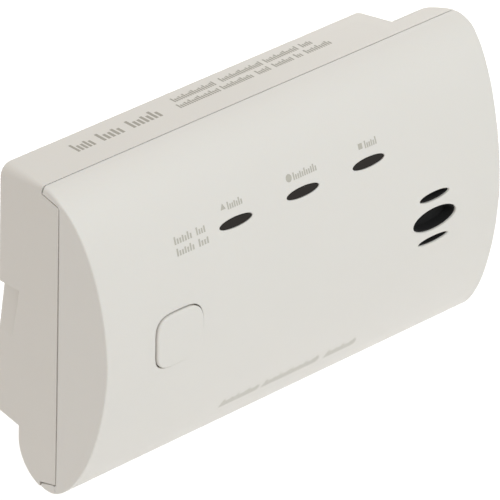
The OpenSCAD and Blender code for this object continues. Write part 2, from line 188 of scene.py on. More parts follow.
def make_floor():
    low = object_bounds()[0].z
    bpy.ops.mesh.primitive_plane_add(size=FLOOR_SIZE, location=(0, 0, low - FLOOR_DROP))
    floor = bpy.context.object
    floor.name = "floor"
    paint = bpy.data.materials.new("floor")
    paint.use_nodes = True
    shader = paint.node_tree.nodes["Principled BSDF"]
    shader.inputs["Base Color"].default_value = FLOOR_COLOUR
    shader.inputs["Roughness"].default_value = 0.9
    floor.data.materials.append(paint)


# ---- materials ----

MIX_A, MIX_B, MIX_RESULT = 6, 7, 2  # the colour sockets of a Mix node


class Paint:
    """A node material with short calls for the nodes used here."""

    def __init__(self, name, colour, roughness, **sockets):
        self.material = bpy.data.materials.new(name)
        self.material.use_nodes = True
        self.tree = self.material.node_tree
        self.shader = self.tree.nodes["Principled BSDF"]
        self.shader.inputs["Base Color"].default_value = (*colour, 1)
        self.shader.inputs["Roughness"].default_value = roughness
        for key, value in sockets.items():
            self.shader.inputs[key.replace("_", " ")].default_value = value
        self.colour = colour
        self.place = self.node("ShaderNodeTexCoord").outputs["Object"]
        self.normal = None

    def node(self, kind, **inputs):
        made = self.tree.nodes.new(kind)
        for key, value in inputs.items():
            socket = made.inputs[key.replace("_", " ")]
            if isinstance(value, bpy.types.NodeSocket):
                self.tree.links.new(value, socket)
            else:
                socket.default_value = value
        return made

    def noise(self, size_mm, detail=3.0, stretch=(1, 1, 1)):
        """Noise whose blobs are about size_mm across."""
        scaled = self.node("ShaderNodeMapping", Vector=self.place, Scale=stretch)
        return self.node("ShaderNodeTexNoise", Vector=scaled.outputs["Vector"], Scale=1 / (size_mm * MM),
                         Detail=detail).outputs["Fac"]

    def ramp(self, value, low, high):
        return self.node("ShaderNodeMapRange", Value=value, To_Min=low, To_Max=high).outputs["Result"]

    def vary_roughness(self, value, low, high):
        self.tree.links.new(self.ramp(value, low, high), self.shader.inputs["Roughness"])

    def vary_colour(self, value, amount):
        """Lightens and darkens the base colour by amount either way."""
        mix = self.node("ShaderNodeMix")
        mix.data_type = "RGBA"
        self.tree.links.new(value, mix.inputs["Factor"])
        mix.inputs[MIX_A].default_value = (*[c * (1 - amount) for c in self.colour], 1)
        mix.inputs[MIX_B].default_value = (*[min(1, c * (1 + amount)) for c in self.colour], 1)
        self.tree.links.new(mix.outputs[MIX_RESULT], self.shader.inputs["Base Color"])

    def bump(self, height, depth_mm, strength=1.0):
        bump = self.node("ShaderNodeBump", Strength=strength, Distance=depth_mm * MM, Height=height)
        if self.normal:
            self.tree.links.new(self.normal, bump.inputs["Normal"])
        self.normal = bump.outputs["Normal"]
        self.tree.links.new(self.normal, self.shader.inputs["Normal"])


def moulded_plastic(name, colour, roughness=0.42, grain=0.012, age=0.012):
    """Satin moulding: fine spark-eroded grain, a slow drift of colour and slightly uneven gloss."""
    paint = Paint(name, colour, roughness, Specular_IOR_Level=0.42, Subsurface_Weight=0.06,
                  Subsurface_Radius=(0.004, 0.003, 0.002), Subsurface_Scale=0.3)
    paint.vary_colour(paint.noise(26, 2), age)
    paint.vary_roughness(paint.noise(3.5, 4), roughness - 0.05, roughness + 0.06)
    paint.bump(paint.noise(0.35, 2), grain)
    return paint.material


def printed_ink(name, colour):
    paint = Paint(name, colour, 0.55)
    paint.vary_colour(paint.noise(0.5, 3), 0.10)
    paint.bump(paint.noise(0.3, 2), 0.004)
    return paint.material


def smoked_plastic(name):
    paint = Paint(name, (0.018, 0.015, 0.013), 0.2, Specular_IOR_Level=0.3)
    paint.vary_colour(paint.noise(2.2, 2), 0.25)
    paint.vary_roughness(paint.noise(1.2, 3), 0.16, 0.26)
    return paint.material


def gloss_film(name, colour):
    """Shrunk plastic film over metal: glossy, with faint lengthwise drawing and small ripples."""
    paint = Paint(name, colour, 0.22, Coat_Weight=0.4, Coat_Roughness=0.12)
    paint.vary_colour(paint.noise(3.0, 3, (0.15, 1, 1)), 0.12)
    paint.vary_roughness(paint.noise(1.6, 3), 0.18, 0.3)
    paint.bump(paint.noise(2.5, 2, (0.3, 1, 1)), 0.015)
    return paint.material


def metal(name, colour, roughness=0.3, brush=(1, 1, 1)):
    paint = Paint(name, colour, roughness, Metallic=1.0)
    paint.vary_colour(paint.noise(1.5, 3, brush), 0.08)
    paint.vary_roughness(paint.noise(0.7, 4, brush), roughness - 0.08, roughness + 0.12)
    paint.bump(paint.noise(0.4, 3, brush), 0.004)
    return paint.material


def dull(name, colour, roughness=0.6, size=0.6, depth=0.01, vary=0.1):
    """Rubber, foam, ceramic or chip plastic: grain of the given size and depth."""
    paint = Paint(name, colour, roughness)
    paint.vary_colour(paint.noise(size * 3, 3), vary)
    paint.vary_roughness(paint.noise(size * 2, 3), roughness - 0.08, min(1, roughness + 0.1))
    paint.bump(paint.noise(size, 3), depth)
    return paint.material


def glowing_plastic(name, colour):
    paint = Paint(name, colour, 0.25, Transmission_Weight=0.25, Subsurface_Weight=0.2)
    paint.vary_colour(paint.noise(0.8, 2), 0.12)
    return paint.material


# ---- mesh building ----

JOIN_STEPS = 2000  # in a millimetre


class Shell:
    """Faces with a normal for each corner."""

    def __init__(self):
        self.points, self.faces, self.normals = [], [], []

    def face(self, points, normals):
        start = len(self.points)
        self.points += [tuple(p) for p in points]
        self.normals.append([tuple(n) for n in normals])
        self.faces.append(list(range(start, start + len(points))))

    def grid(self, points, normals, flip=False, closed=False):
        """Quads over rows of points; closed joins the end of each row to its start."""
        points, normals = np.asarray(points, float), np.asarray(normals, float)
        rows, across = points.shape[:2]
        for i in range(rows - 1):
            for j in range(across if closed else across - 1):
                ring = [(i, j), (i, (j + 1) % across), (i + 1, (j + 1) % across), (i + 1, j)]
                if flip:
                    ring.reverse()
                self.face([points[c] for c in ring], [normals[c] for c in ring])

    def triangles(self, points, normals, triangles, flip=False):
        for tri in triangles:
            tri = tri[::-1] if flip else tri
            self.face([points[i] for i in tri], [normals[i] for i in tri])

    def make(self, name, material, body, slot=None, replaces=()):
        """Makes the object and ties it to its body. Corners that round to the same place are joined."""
        keys, index, vertices = {}, [], []
        for p in self.points:
            key = tuple(round(c * JOIN_STEPS) for c in p)
            if key not in keys:
                keys[key] = len(vertices)
                vertices.append([c * MM for c in p])
            index.append(keys[key])
        faces, normals = [], []
        for corners, face_normals in zip(self.faces, self.normals):
            ring, kept = [], []
            for c, n in zip(corners, face_normals):
                if index[c] not in ring:
                    ring.append(index[c])
                    kept.append(n)
            if len(ring) > 2:
                faces.append(ring)
                normals += kept
        mesh = bpy.data.meshes.new(name)
        mesh.from_pydata(vertices, [], faces)
        mesh.polygons.foreach_set("use_smooth", [True] * len(faces))
        mesh.normals_split_custom_set(normals)
        mesh.materials.append(material)
        obj = bpy.data.objects.new(name, mesh)
        bpy.context.scene.collection.objects.link(obj)
        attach(obj, body)
        if replaces:
            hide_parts(*replaces)


def oval(w, h, power=2.0, steps=96):
    """Evenly spaced points round an oval, anticlockwise; power 2 is an ellipse, larger is squarer."""
    a = np.linspace(0, 2 * math.pi, steps * 8, endpoint=False)
    c, s = np.cos(a), np.sin(a)
    x, y = (size / 2 * np.sign(v) * np.abs(v) ** (2 / power) for size, v in ((w, c), (h, s)))
    return resample(np.c_[x, y], steps)


def resample(ring, steps):
    """The closed ring again with steps evenly spaced points."""
    closed = np.vstack([ring, ring[:1]])
    run = np.r_[0, np.cumsum(np.hypot(*np.diff(closed, axis=0).T))]
    want = np.linspace(0, run[-1], steps, endpoint=False)
    return np.c_[np.interp(want, run, closed[:, 0]), np.interp(want, run, closed[:, 1])]


def outward(ring):
    """Unit normals of an anticlockwise ring."""
    run = np.roll(ring, -1, 0) - np.roll(ring, 1, 0)
    n = np.c_[run[:, 1], -run[:, 0]]
    return n / np.maximum(np.hypot(*n.T), 1e-9)[:, None]


def inside(points, ring):
    """Which points lie inside the ring."""
    x, y = points[:, 0], points[:, 1]
    hit = np.zeros(len(points), bool)
    for (x0, y0), (x1, y1) in zip(ring, np.roll(ring, -1, 0)):
        if y0 != y1:
            crosses = (y0 > y) != (y1 > y)
            hit ^= crosses & (x < x0 + (y - y0) * (x1 - x0) / (y1 - y0))
    return hit


def fill(boundary, holes, extra):
    """Triangles between a boundary and its holes, through the extra points: (points, triangles).
    The boundary's points come first and then each hole's, in order."""
    loops = [boundary, *holes]
    points = np.vstack([*loops, extra]) if len(extra) else np.vstack(loops)
    edges, start = [], 0
    for loop in loops:
        n = len(loop)
        edges += [(start + i, start + (i + 1) % n) for i in range(n)]
        start += n
    made = delaunay_2d_cdt([Vector(p) for p in points], edges, [], 0, 1e-7, True)
    source = [ids[0] if ids else -1 for ids in made[3]]
    triangles = [[source[i] for i in tri] for tri in made[2]]
    triangles = np.array([t for t in triangles if min(t) >= 0])
    middle = points[triangles].mean(1)
    keep = inside(middle, boundary)
    for hole in holes:
        keep &= ~inside(middle, hole)
    triangles = triangles[keep]
    a, b, c = (points[triangles[:, i]] for i in range(3))
    area = (b[:, 0] - a[:, 0]) * (c[:, 1] - a[:, 1]) - (b[:, 1] - a[:, 1]) * (c[:, 0] - a[:, 0])
    triangles[area < 0] = triangles[area < 0][:, ::-1]
    return points, triangles[np.abs(area) > 1e-9]


# ---- the front's curved surface ----

class FrontCurve:
    """The front surface. A place on it is (x, s), where s runs down the curve from the top lip."""

    ARC_STEPS = 400
    UNDER_STEPS = 30
    UNDER_START = 91.5      # degrees; the arc under the case is cut where it meets the lower half
    EVEN_STEPS = 700
    SMOOTHING = 6

    def __init__(self):
        a = np.linspace(0, math.pi / 2, self.ARC_STEPS)
        lip = [[LIP_Y + LIP_EXTRA, RISE]]
        top = np.c_[LIP_Y - (CASE_D + LIP_Y) * np.sin(a), RISE * np.cos(a) ** (2 / BOW_TOP)]
        b = a[::-1][1:]
        low = np.c_[UNDER_Y - (CASE_D + UNDER_Y) * np.sin(b), -DROP * np.cos(b) ** (2 / BOW_BOTTOM)]
        end = math.acos((UNDER_END_Y - RIM_BOTTOM_C[0]) / RIM_BOTTOM_R)
        c = np.linspace(math.radians(self.UNDER_START), end, self.UNDER_STEPS)[1:]
        under = np.c_[RIM_BOTTOM_C[0] + RIM_BOTTOM_R * np.cos(c), RIM_BOTTOM_C[1] - RIM_BOTTOM_R * np.sin(c)]
        drawn = np.vstack([lip, top, low, under[under[:, 0] > UNDER_Y + 0.1]])
        drawn_run = np.r_[0, np.cumsum(np.hypot(*np.diff(drawn, axis=0).T))]
        self.length = drawn_run[-1]
        self.run = np.linspace(0, self.length, self.EVEN_STEPS)
        self.line = np.c_[tuple(np.interp(self.run, drawn_run, drawn[:, i]) for i in (0, 1))]
        tangent = np.gradient(self.line, self.run, axis=0)
        normal = np.c_[tangent[:, 1], -tangent[:, 0]]
        for _ in range(self.SMOOTHING):
            normal[1:-1] = (normal[:-2] + 2 * normal[1:-1] + normal[2:]) / 4
        self.across = normal / np.hypot(*normal.T)[:, None]

    def at(self, s):
        """(y, z) at each s."""
        return np.c_[np.interp(s, self.run, self.line[:, 0]), np.interp(s, self.run, self.line[:, 1])]

    def normal(self, s):
        """Unit (y, z) normals, pointing out of the case."""
        n = np.c_[np.interp(s, self.run, self.across[:, 0]), np.interp(s, self.run, self.across[:, 1])]
        return n / np.hypot(*n.T)[:, None]

    def s_of_z(self, z):
        first = np.argmax(self.line[:, 1])
        last = np.argmin(self.line[:, 1])
        return np.interp(-np.asarray(z), -self.line[first:last + 1, 1], self.run[first:last + 1])

    def place(self, x, s, depth=0.0):
        """Points (x, y, z) at a depth under the surface."""
        yz = self.at(s) - np.reshape(depth, (-1, 1)) * self.normal(s)
        return np.c_[np.broadcast_to(x, len(yz)), yz]

    def facing(self, s):
        """Unit (x, y, z) normals, pointing out of the case."""
        n = self.normal(s)
        return np.c_[np.zeros(len(n)), n]

    def edge_x(self, s):
        """Half the width of the front at each s."""
        return END_X - DRAFT * np.maximum(0, SEAM_Y - self.at(s)[:, 0])

    def seam_crossings(self):
        """The two places down the curve where it passes the seam's plane."""
        return self.run[np.nonzero(np.diff(np.sign(self.line[:, 0] - SEAM_Y)))[0]]


CURVE = FrontCurve()


def quarter_turn(steps):
    return np.linspace(0, math.pi / 2, steps)


def along_surface(direction, up):
    """Directions in (x, s) as (x, y, z), at places that face up."""
    down = np.c_[np.zeros(len(up)), -up[:, 2], up[:, 1]]
    return direction[:, :1] * np.array([[1.0, 0, 0]]) + direction[:, 1:] * down


def ring_on_front(centre, w, h, power=2.0, steps=96):
    """An oval about a centre (x, z), as an anticlockwise ring of (x, s), and its outward normals."""
    ring = oval(w, h, power, steps)
    ring = np.c_[ring[:, 0] + centre[0], CURVE.s_of_z(ring[:, 1] + centre[1])][::-1]
    return ring, outward(ring)


class Opening:
    """A hole through the cover with a rounded rim."""

    def __init__(self, centre, w, h, rim, power=2.0, steps=96):
        self.ring, self.normals = ring_on_front(centre, w, h, power, steps)
        self.rim = rim

    def lip(self):
        return self.ring + self.normals * self.rim

    def walls(self, shell, depth):
        """From the rim's outer edge, round the rim and down to depth."""
        points, normals = [], []
        for angle in quarter_turn(6):
            ring = self.ring + self.normals * self.rim * (1 - math.sin(angle))
            up = CURVE.facing(ring[:, 1])
            side = along_surface(-self.normals, up)
            points.append(CURVE.place(ring[:, 0], ring[:, 1], self.rim * (1 - math.cos(angle))))
            normals.append(math.cos(angle) * up + math.sin(angle) * side)
        points.append(CURVE.place(self.ring[:, 0], self.ring[:, 1], depth))
        normals.append(normals[-1])
        shell.grid(points, normals, flip=True, closed=True)


def grid_points(x_edge, holes, step_x=2.0, step_s=1.1, clear=0.55):
    """Points spread over the front, kept clear of the edge and the holes."""
    s = np.arange(step_s, CURVE.length - step_s / 2, step_s)
    x = np.arange(-END_X + 1, END_X, step_x)
    spread = np.array([(a, b) for i, b in enumerate(s) for a in x + (i % 2) * step_x / 2])
    keep = np.abs(spread[:, 0]) < np.interp(spread[:, 1], CURVE.run, x_edge) - step_x / 2
    for hole in holes:
        gap = np.min(np.hypot(*(spread[:, None] - hole[None]).transpose(2, 0, 1)), axis=1)
        keep &= (gap > clear) & ~inside(spread, hole)
    return spread[keep]


# ---- the cover ----

def wall_depth(s):
    """Thickness of the cover at s: thinner where it wraps over and under the housing's tongue."""
    y, z = CURVE.at(s).T
    over, under = (np.interp(-y, *zip(*table)) for table in (OVER_TONGUE, UNDER_TONGUE))
    return np.where(z > 0, over, under)


def crease(s):
    """Rounding of the crease between the front and the ends, larger at the top lip's corners."""
    return 0.35 + 0.75 * np.exp(-s / 3.0)


def before_seam(s):
    """Whether the ends are part of the cover at s."""
    return CURVE.at(s)[:, 0] < SEAM_Y - SEAM_MARGIN


def inner_x(x, s):
    """Where a point of the outer skin goes on the inner skin, past the ends' own thickness."""
    edge = CURVE.edge_x(s)
    target = np.where(before_seam(s), edge - WALL, edge)
    stretch = (target - INNER_TURN) / (edge - crease(s) - INNER_TURN)
    moved = np.sign(x) * (INNER_TURN + (np.abs(x) - INNER_TURN) * stretch)
    return np.where(np.abs(x) > INNER_TURN, moved, x)


def cover_openings():
    openings = [Opening((x, WINDOW_Z), *WINDOW_SIZE, WINDOW_RIM) for x in WINDOW_X]
    openings += [Opening((HORN[0], HORN[1] + up), w, h, VENT_RIM) for up, w, h in VENT_SLOTS]
    return openings + [Opening(BUTTON_AT, *BUTTON_SIZE, BUTTON_RIM, BUTTON_ROUND, PAD_STEPS)]


def front_cover(material):
    openings = cover_openings()
    shell = Shell()
    rows = np.linspace(LIP_ROUND, CURVE.length - LIP_ROUND, COVER_ROWS)
    rows = np.unique(np.round(np.r_[rows, CURVE.seam_crossings()], 4))
    edge = CURVE.edge_x(rows) - crease(rows)
    columns = np.linspace(-1, 1, COVER_COLUMNS)[1:-1]
    top, bottom = (np.c_[columns * edge[i], np.full(len(columns), rows[i])] for i in (0, -1))
    boundary = np.vstack([np.c_[-edge, rows], bottom, np.c_[edge, rows][::-1], top[::-1]])
    lips = [o.lip() for o in openings]
    points, triangles = fill(boundary, lips, grid_points(CURVE.edge_x(CURVE.run) - crease(CURVE.run), lips))
    x, s = points.T
    shell.triangles(CURVE.place(x, s), CURVE.facing(s), triangles, flip=True)
    for o in openings:
        o.walls(shell, WALL)
    # The inner skin has the same triangles, but its holes are as wide as the openings' walls.
    start = len(boundary)
    rings = np.vstack([o.ring for o in openings])
    points[start:start + len(rings)] = rings
    x, s = points.T
    depth = wall_depth(s)
    depth[start:start + len(rings)] = WALL
    shell.triangles(CURVE.place(inner_x(x, s), s, depth), -CURVE.facing(s), triangles)
    for side in (-1, 1):
        cover_end(shell, rows, side)
    for i, way, line in ((0, -1, top), (-1, 1, bottom)):
        lip = cover_lip(shell, rows[i], way, edge[i], line[:, 0])
        close_corner(shell, end_chain(rows[i], -1)[0], lip[:, 0])
        close_corner(shell, end_chain(rows[i], 1)[0], lip[:, -1])
    shell.make("front_cover_moulding", material, "housing", "cover_plastic", ["front_cover"])


def wrap_y(s, z):
    """Where the end face at height z passes into the band that wraps round the housing's tongue."""
    cross = np.array([min(CURVE.seam_crossings(), key=lambda c: abs(c - s))])
    n = CURVE.normal(cross)[0]
    return SEAM_Y + n[0] / n[1] * (z - CURVE.at(cross)[0, 1])


def end_chain(row, side):
    """Points and normals from the front, round the crease, over the flat end and back to the inner skin.
    Every chain has the same number of points, so that they join up as the rows of a grid."""
    s = np.array([row])
    up = CURVE.facing(s)[0]
    out = np.array([side * 1.0, -DRAFT, 0.0])
    out /= np.linalg.norm(out)
    rounding = crease(s)[0]
    x = side * (CURVE.edge_x(s)[0] - rounding)
    centre = CURVE.place(x, s, rounding)[0]
    normals = [up * math.cos(angle) + out * math.sin(angle) for angle in quarter_turn(6)]
    points = [centre + rounding * n for n in normals]
    inner = CURVE.place(inner_x(np.array([x]), s), s, wall_depth(s))[0]
    last = points[-1]
    if not before_seam(s)[0]:
        stops = [last + (inner - last) * t for t in (0.2, 0.4, 0.6, 0.8, 0.9, 1.0)]
        return points + stops, normals + [out] * 6
    z = last[2]
    wrapped = not TONGUE_Z[0] < z < TONGUE_Z[1]
    bevel = 0 if wrapped else SEAM_BEVEL
    seam = np.array([side * END_X, wrap_y(row, z) if wrapped else SEAM_Y + SEAM_EXTRA, z])
    stops = [last + (seam - last) * t for t in (0.33, 0.66, 1 if wrapped else 0.97)]
    stops += [seam - np.array([side * bevel, 0, 0]), np.array([side * (END_X - WALL), seam[1], z]), inner]
    return points + stops, normals + [out] * 3 + [TO_WALL] * 2 + [-out]


def cover_end(shell, rows, side):
    points, normals = zip(*(end_chain(s, side) for s in rows))
    shell.grid(points, normals, flip=side > 0)


def cover_lip(shell, row, way, edge, line):
    """Rounds one of the cover's long back edges, where way is -1 at the top and 1 underneath."""
    along = np.r_[-edge, line, edge]
    s = np.full(len(along), row)
    up = CURVE.facing(s)
    back = np.c_[np.zeros(len(s)), -up[:, 2], up[:, 1]] * way * -1
    centre = CURVE.place(along, s, LIP_ROUND)
    normals = [up * math.cos(angle) + back * math.sin(angle) for angle in quarter_turn(5)]
    points = [centre + LIP_ROUND * n for n in normals]
    points.append(CURVE.place(inner_x(along, s), s, wall_depth(s)))
    shell.grid(points, normals + [back], flip=way > 0)
    return np.array(points)


def close_corner(shell, end, column):
    """Fills the small gap between the last chain of an end and the last column of a lip."""
    ring = [end[-1], *column[-2:0:-1], *end[:-1]]
    triangles = [[ring[0], a, b] for a, b in zip(ring[1:], ring[2:])]
    area = sum(np.cross(b - a, c - a) for a, b, c in triangles)
    for tri in triangles:
        shell.face(tri if area @ TO_WALL > 0 else tri[::-1], [TO_WALL] * 3)


# ---- button and windows ----

def prism(shell, ring, y0, y1):
    """A plate with an (x, z) outline, anticlockwise, between two values of y."""
    flat, triangles = fill(ring, [], [])
    for y, flip, n in ((y0, False, (0, -1, 0)), (y1, True, (0, 1, 0))):
        points = np.c_[flat[:, 0], np.full(len(flat), y), flat[:, 1]]
        shell.triangles(points, [n] * len(flat), triangles, flip)
    n = outward(ring)
    side = np.c_[n[:, 0], np.zeros(len(n)), n[:, 1]]
    rows = [np.c_[ring[:, 0], np.full(len(ring), y), ring[:, 1]] for y in (y1, y0)]
    shell.grid(rows, [side, side], closed=True)


def front_pad(centre, size, gap, power, top, edge, steps):
    """A pad that fills an opening of the given size. Its face stands top above the front's surface."""
    shell = Shell()
    ring, out = ring_on_front(centre, *(v - 2 * gap for v in size), power, steps)
    tight = ring - out * edge
    spread = grid_points(np.full(len(CURVE.run), END_X), [], 0.8, 0.8)
    spread = spread[inside(spread, tight - out * 0.3)]
    points, triangles = fill(tight[::-1], [], spread)
    x, s = points.T
    shell.triangles(CURVE.place(x, s, -top), CURVE.facing(s), triangles, flip=True)
    rows, normals = [], []
    up = CURVE.facing(ring[:, 1])
    side = along_surface(out, up)
    for angle in quarter_turn(7):
        line = ring - out * edge * (1 - math.sin(angle))
        rows.append(CURVE.place(line[:, 0], line[:, 1], -top + edge * (1 - math.cos(angle))))
        normals.append(math.cos(angle) * up + math.sin(angle) * side)
    rows.append(CURVE.place(ring[:, 0], ring[:, 1], PAD_ROOT))
    shell.grid(rows, normals + [side], closed=True)
    points, triangles = fill(ring[::-1], [], spread)
    x, s = points.T
    shell.triangles(CURVE.place(x, s, PAD_ROOT), -CURVE.facing(s), triangles)
    return shell


def test_button(material):
    shell = front_pad(BUTTON_AT, BUTTON_SIZE, BUTTON_GAP, BUTTON_ROUND, BUTTON_PROUD, BUTTON_EDGE,
                      PAD_STEPS)
    flange = [v + extra for v, extra in zip(BUTTON_SIZE, FLANGE_EXTRA)]
    prism(shell, oval(*flange, FLANGE_ROUND) + BUTTON_AT, *FLANGE_Y)
    prism(shell, oval(4, 4, steps=40) + (SWITCH_X, 0), FLANGE_Y[1], FLANGE_Y[1] + 0.05)
    shell.make("test_button_cap", material, "test_button", "button_plastic", ["test_button"])


def windows(material):
    for name, x in zip(("lens_left", "lens_middle", "lens_right"), WINDOW_X):
        shell = front_pad((x, WINDOW_Z), WINDOW_SIZE, WINDOW_GAP, 2, -WINDOW_SUNK, WINDOW_EDGE, 96)
        shell.make(name + "_window", material, "housing", "smoked_window", [name])


# ---- printed marks: rows of plain strokes and simple signs, where a real case has its wording ----

MARK_RISE = 0.03
STROKE_HEIGHTS = (1.0, 0.66, 0.66, 0.84, 0.66, 1.0, 0.66, 0.66, 0.84)
# Captions over the windows: (left, right, corners of the sign, turn of the sign)
CAPTIONS = ((-21.3, -15.1, 3, math.pi / 2), (-3.2, 5.4, 24, 0), (16.8, 22.3, 4, math.pi / 4))
CAPTION_UP = 21.4
# Words beside the left window: (left, right, up)
SIDE_WORDS = ((-34.3, -29.4, 19.3), (-28.4, -25.8, 19.3), (-34.2, -29.3, 17.0), (-28.3, -25.4, 17.0))
# Slanted line low on the front: (left, right) of each word
LOW_LINE = ((-19.3, -8.4), (-7.4, 8.4), (10.2, 19.0))
LOW_LINE_UP = -24.6
# Print on the top face: (y, height, pitch, words)
TOP_LINES = (
    (-6.2, 3.1, 1.15, ((-42.2, -37.0), (-35.4, -29.2), (-27.4, -19.0))),
    (-3.75, 1.7, 0.62, ((-14.0, -2.4), (-0.9, 10.6), (11.4, 20.6), (21.5, 24.5))),
    (-6.3, 1.7, 0.62, ((-14.8, -3.5), (-2.9, 5.6), (6.8, 10.4), (11.5, 16.8), (17.6, 19.4), (20.4, 27.5))),
)
# The label, seen from behind: its left margin, and (up, right end) of each line of print
LABEL_LEFT = -33.4
LABEL_LINES = ((8.6, -12.5), (6.4, -9.5), (4.2, -14.0), (2.0, -10.5), (-0.2, -20.0))
TABLE_UPS = (-2.4, -5.2, -8.0)
TABLE_COLUMNS = (LABEL_LEFT, -27.0, -20.58)
RULE = 0.18
BAR_LEFT, BAR_PITCH, BAR_WIDTHS = -18.0, 0.75, (0.2, 0.45, 0.3, 0.2, 0.5)


def strokes(x0, x1, base, height, pitch, slant=0.0, part=0.55):
    """Upright strokes from x0 to x1 as rings of (x, up), anticlockwise; part of each pitch is inked."""
    count = max(1, round((x1 - x0) / pitch))
    step = (x1 - x0) / count
    rings = []
    for i in range(count):
        tall = height * STROKE_HEIGHTS[i % len(STROKE_HEIGHTS)]
        left, right = x0 + i * step, x0 + (i + part) * step
        rings.append(np.array([(left, base), (right, base), (right + slant * tall, base + tall),
                               (left + slant * tall, base + tall)]))
    return rings


def sign(x, base, size, corners, turn=0.0):
    """A regular polygon, or a disc when it has many corners."""
    a = np.linspace(0, 2 * math.pi, corners, endpoint=False) + turn
    return np.c_[x + size / 2 * np.cos(a), base + size / 2 + size / 2 * np.sin(a)]


def box_ring(x0, x1, up0, up1):
    return np.array([(x0, up0), (x1, up0), (x1, up1), (x0, up1)], float)


def on_front(ring, height):
    s = CURVE.s_of_z(ring[:, 1])
    return CURVE.place(ring[:, 0], s, -height), CURVE.facing(s)


def on_top(ring, height):
    return np.c_[ring, np.full(len(ring), RISE + height)], np.tile((0.0, 0.0, 1.0), (len(ring), 1))


def on_back(y):
    """Places rings of (right, up), as seen from behind, on the plane at y."""
    def place(ring, height):
        flat = np.full(len(ring), y + height)
        return np.c_[-ring[:, 0], flat, ring[:, 1]], np.tile(TO_WALL, (len(ring), 1))
    return place


def on_cell(z_axis):
    """Places rings of (x, distance round) on a cell, the middle facing the door."""
    def place(ring, height):
        a = ring[:, 1] / CELL_R
        radial = np.c_[np.zeros(len(a)), np.cos(a), np.sin(a)]
        middle = np.c_[ring[:, 0], np.full(len(a), CELL_Y), np.full(len(a), z_axis)]
        return middle + radial * (CELL_R + height), radial
    return place


def stamp(rings, place, name, material, slot, body="housing", rise=MARK_RISE):
    """Thin raised shapes on a surface."""
    shell = Shell()
    for ring in rings:
        top, up = place(ring, rise)
        low, _ = place(ring, -rise)
        shell.face(top, up)
        for i in range(len(ring)):
            j = (i + 1) % len(ring)
            side = np.cross(low[j] - low[i], up[i])
            side /= np.linalg.norm(side)
            shell.face([low[i], low[j], top[j], top[i]], [side] * 4)
    shell.make(name, material, body, slot)


def front_marks(ink):
    rings = []
    for left, right, corners, turn in CAPTIONS:
        rings.append(sign(left + 0.8, CAPTION_UP, 1.55, corners, turn))
        rings += strokes(left + 2.0, right, CAPTION_UP, 1.45, 0.62)
    for left, right, up in SIDE_WORDS:
        rings += strokes(left, right, up, 1.5, 0.66)
    for left, right in LOW_LINE:
        rings += strokes(left, right, LOW_LINE_UP, 1.9, 0.8, slant=0.45, part=0.42)
    stamp(rings, on_front, "front_marks", ink, "cover_plastic")


def top_marks(ink):
    rings = []
    for base, height, pitch, words in TOP_LINES:
        for left, right in words:
            rings += strokes(left, right, base, height, pitch)
    stamp(rings, on_top, "top_marks", ink, "housing_plastic")


def label_marks(ink):
    """A heading bar, a warning triangle, lines of print, a small table and a bar code that says nothing."""
    rings = [box_ring(LABEL_LEFT, -17.0, 11.8, 13.6), sign(-9.6, 10.9, 3.4, 3, math.pi / 2)]
    for base, right in LABEL_LINES:
        rings += strokes(LABEL_LEFT, right, base, 1.1, 0.62)
    rings += [box_ring(LABEL_LEFT, -20.4, up, up + RULE) for up in TABLE_UPS]
    rings += [box_ring(x, x + RULE, TABLE_UPS[-1], TABLE_UPS[0] + RULE) for x in TABLE_COLUMNS]
    for base in (-4.5, -7.3):
        rings += strokes(-32.6, -28.0, base, 1.1, 0.62) + strokes(-26.2, -21.4, base, 1.1, 0.62)
    for i in range(14):
        left = BAR_LEFT + BAR_PITCH * i
        rings.append(box_ring(left, left + BAR_WIDTHS[i % len(BAR_WIDTHS)], -8.0, -2.2))
    rings += strokes(LABEL_LEFT, -8.0, -11.6, 1.3, 0.75)
    stamp(rings, on_back(LABEL_Y), "label_marks", ink, "label_paper")


def door_arrow(plastic):
    """A raised arrow towards the edge of the door where a finger lifts it."""
    arrow = [sign(28.0, 2.0, 3.2, 3), box_ring(22.6, 27.4, 3.1, 4.1)]
    stamp(arrow, on_back(DOOR_Y), "door_arrow", plastic, "housing_plastic", "battery_door", 0.15)


# ---- cells ----

def turned(profile, z_axis, steps=72):
    """A body of revolution about a cell's axis from (x, radius) points; returns a Shell."""
    shell = Shell()
    a = np.linspace(0, 2 * math.pi, steps, endpoint=False)
    profile = np.asarray(profile, float)
    for (x0, r0), (x1, r1) in zip(profile, profile[1:]):
        n = np.array([r0 - r1, x1 - x0])
        n /= np.hypot(*n)
        normals = np.c_[np.full(steps, n[0]), n[1] * np.cos(a), n[1] * np.sin(a)]
        rows = [np.c_[np.full(steps, x), CELL_Y + r * np.cos(a), z_axis + r * np.sin(a)]
                for x, r in ((x0, r0), (x1, r1))]
        shell.grid(rows, [normals, normals], closed=True)
    return shell


